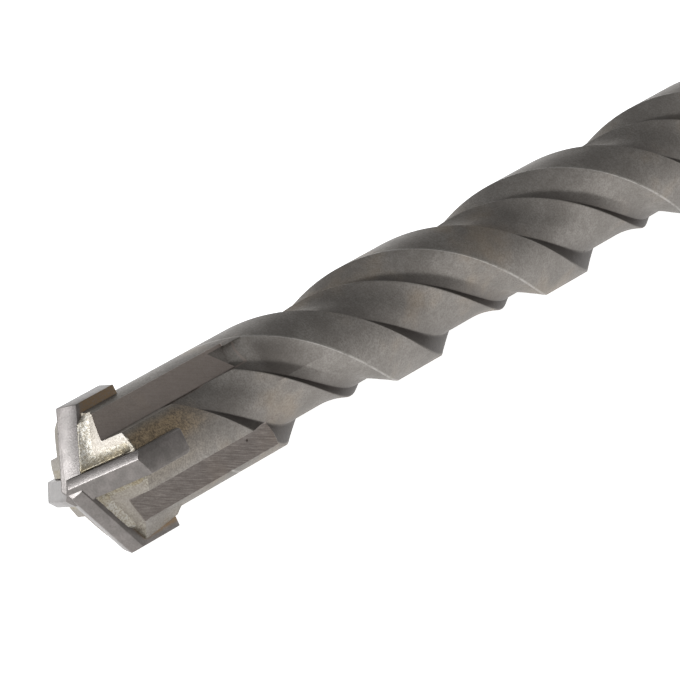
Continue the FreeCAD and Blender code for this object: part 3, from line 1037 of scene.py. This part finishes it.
def ground_carbide():
    material = bpy.data.materials.new("ground_carbide_finish")
    sheet = sheet_of(material)
    place = Place(sheet)
    grain = speckle(sheet, place.object, 5200.0, 2.0)
    cloud = speckle(sheet, place.object, 700.0, 2.0)
    colour = mixed(sheet, sheet.step(cloud, 0.3, 0.7), linear(107, 103, 100), linear(120, 115, 112))
    colour = mixed(sheet, sheet.step(grain, 0.35, 0.7) * 0.3, colour, linear(84, 80, 77))
    wall = sheet.step(place.behind_face, -0.35, 0.25) * sheet.step(place.radius, 7.9, 7.5)
    wall = wall * sheet.step(sheet.maths("ABSOLUTE", place.from_long_blade), 0.12, 0.04)
    colour = mixed(sheet, wall * (sheet.step(grain, 0.3, 0.6) * 0.5 + 0.4), colour, linear(124, 104, 80))
    pores = pits(sheet, place.object, 900.0, 0.08, 0.12)
    colour = mixed(sheet, pores * 0.6, colour, linear(50, 46, 46))
    height = grain * 0.6 + cloud * 0.5 - pores
    metal(sheet, colour, 0.34 + grain * 0.1, height, 0.35, 0.00004)
    print("carbide finish", len(sheet.tree.nodes), "nodes")
    return material


# %% [markdown]
# Braze is a brass-like alloy. Here it is a dull straw colour under dark flux grains, so the
# fillets read as a granular crust and not as polished metal.

# %% Braze


def straw_braze():
    material = bpy.data.materials.new("straw_braze_finish")
    sheet = sheet_of(material)
    place = Place(sheet)
    grain = speckle(sheet, place.object, 4800.0, 2.0)
    cloud = speckle(sheet, place.object, 900.0, 2.0)
    colour = mixed(sheet, sheet.step(cloud, 0.35, 0.65), linear(142, 137, 126), linear(134, 125, 106))
    short_side = sheet.step(place.from_short_blade, 1.5, 0.3)
    upper = sheet.step(place.short, -0.5, 0.5)
    colour = mixed(sheet, (1 - short_side) * upper * 0.6, colour, linear(146, 144, 140))
    colour = mixed(sheet, sheet.step(grain, 0.42, 0.62) * 0.6, colour, linear(104, 94, 76))
    height = grain + cloud * 0.8
    metal(sheet, colour, 0.42 + grain * 0.15, height, 0.5, 0.00006)
    print("braze finish", len(sheet.tree.nodes), "nodes")
    return material


# %% [markdown]
# Every half blade has two fillets, one a side, and the bit is the same after half a turn. So four
# rows of sizes make all eight, each with its own seed, and a mirrored copy serves the other side.
# The fillets lie on the bar and ride the same body, though their finish is their own.

# %% Braze fillets
FILLETS = [
    (0, 1, {"Half": LONG_HALF, "Top": 0.86, "Width": 1.3}),
    (0, -1, {"Half": LONG_HALF, "Top": 1.02, "Width": 1.0}),
    (90, 1, {"Half": SHORT_HALF, "Top": 1.10, "Width": 1.0}),
    (90, -1, {"Half": SHORT_HALF, "Top": 0.86, "Width": 1.2}),
]


def braze_fillets(braze):
    tree = fillet_tree()
    form = bmesh.new()
    for quarter, mirror, sizes in FILLETS:
        for turn in (quarter, quarter + 180):
            seed = turn * 0.1 + mirror
            piece = made_by(tree, "fillet", {**FILLET_SIZES, **sizes, "Seed": seed, "Material": braze})
            place = Matrix.Rotation(math.radians(turn), 4, "X") @ Matrix.Diagonal((1, 1, mirror, 1))
            piece.data.transform(place)
            form.from_mesh(piece.data)
            bpy.data.objects.remove(piece)
    bmesh.ops.recalc_face_normals(form, faces=form.faces)
    mesh = bpy.data.meshes.new("braze_fillets")
    form.to_mesh(mesh)
    form.free()
    mesh.transform(lying_down())
    smooth_shaded(mesh)
    mesh.materials.clear()
    mesh.materials.append(braze)
    print("braze fillets", len(mesh.polygons), "faces")
    return object_from("braze_fillets", mesh)


fillets = braze_fillets(straw_braze())

# %% [markdown]
# All three pieces ride the one body of the model. The bar and the cross stand in for their CAD
# solids, which are hidden.

# %% Hand the pieces over
body.data.materials.clear()
body.data.materials.append(steel_finish)
cross.data.materials.append(ground_carbide())

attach(fillets, "root")

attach(body, "root")
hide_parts("drill_body")
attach(cross, "root")
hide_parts("carbide_cross_tip")

# %% [markdown]
# The photograph is a cut-out on white. A brighter lamp would whiten the table but also the steel,
# so the table glows for the camera and for reflections only. Its paint still takes the shadow.

# %% Table
TABLE_REACH = 3.0
TABLE_GLOW = 0.92


def table_top():
    mesh = bpy.data.meshes.new("table_top")
    reach = TABLE_REACH
    corners = [(-reach, -reach, 0), (reach, -reach, 0), (reach, reach, 0), (-reach, reach, 0)]
    mesh.from_pydata(corners, [], [(0, 1, 2, 3)])
    table = object_from("table_top", mesh)
    material = bpy.data.materials.new("white_table")
    sheet = sheet_of(material)
    rays = sheet.add("ShaderNodeLightPath")
    shown = sheet.maths("MAXIMUM", rays.output("Is Camera Ray"), rays.output("Is Glossy Ray"))
    shown = sheet.maths("MAXIMUM", shown, rays.output("Is Transmission Ray"))
    paint = sheet.add("ShaderNodeBsdfDiffuse", values={"Color": (0.82, 0.82, 0.82, 1)})
    glow = sheet.add("ShaderNodeEmission", values={"Color": (1, 1, 1, 1), "Strength": shown * TABLE_GLOW})
    shader = sheet.add("ShaderNodeAddShader", values={0: paint, 1: glow})
    finish_material(sheet, shader)
    table.data.materials.append(material)
    print("table", 2 * reach, "m square")


table_top()

# %% [markdown]
# A metal shows what stands round it, so the room matters more than the lamp. A pale band above
# the table lights the underside, the ceiling is dim, which keeps the top dark, and one large soft
# lamp beyond the tip whitens the facets that look that way. It is a little cool, as the
# photograph's white facets are.

# %% Lamp and room
COOL_WHITE = (0.93, 0.96, 1.0)
CEILING = [(0.14, 1.0), (0.45, 0.17)]
TIP_LAMP = {"place": (-1.0, 0.36, 0.44), "target": (-0.09, 0, 0.006), "size": (0.7, 0.52), "watts": 17.0}


def soft_light(name, place, target, size, watts):
    data = bpy.data.lights.new(name, "AREA")
    data.shape = "RECTANGLE"
    data.size, data.size_y = size
    data.energy = watts
    data.color = COOL_WHITE
    light = bpy.data.objects.new(name, data)
    aim = Vector(target) - Vector(place)
    light.matrix_world = Matrix.Translation(place) @ aim.to_track_quat("-Z", "Y").to_matrix().to_4x4()
    bpy.context.scene.collection.objects.link(light)
    print(name, watts, "W")


def room():
    """World that is pale at the table's level, dim overhead and paler on the side towards -Y."""
    world = bpy.data.worlds.new("studio")
    sheet = sheet_of(world)
    direction = sheet.add("ShaderNodeTexCoord", output="Generated")
    parts = sheet.add("ShaderNodeSeparateXYZ", values={0: direction})
    strength = sheet.along(parts.output("Z"), CEILING)
    strength = strength + sheet.clamped((0.3 - parts.output("Y")) * 0.42, 0, 0.38)
    glow = sheet.add("ShaderNodeBackground", values={"Color": (1, 1, 1, 1), "Strength": strength})
    sheet.add("ShaderNodeOutputWorld", values={"Surface": glow})
    bpy.context.scene.world = world


room()
soft_light("tip_lamp", **TIP_LAMP)

bpy.context.scene.view_settings.view_transform = "Standard"
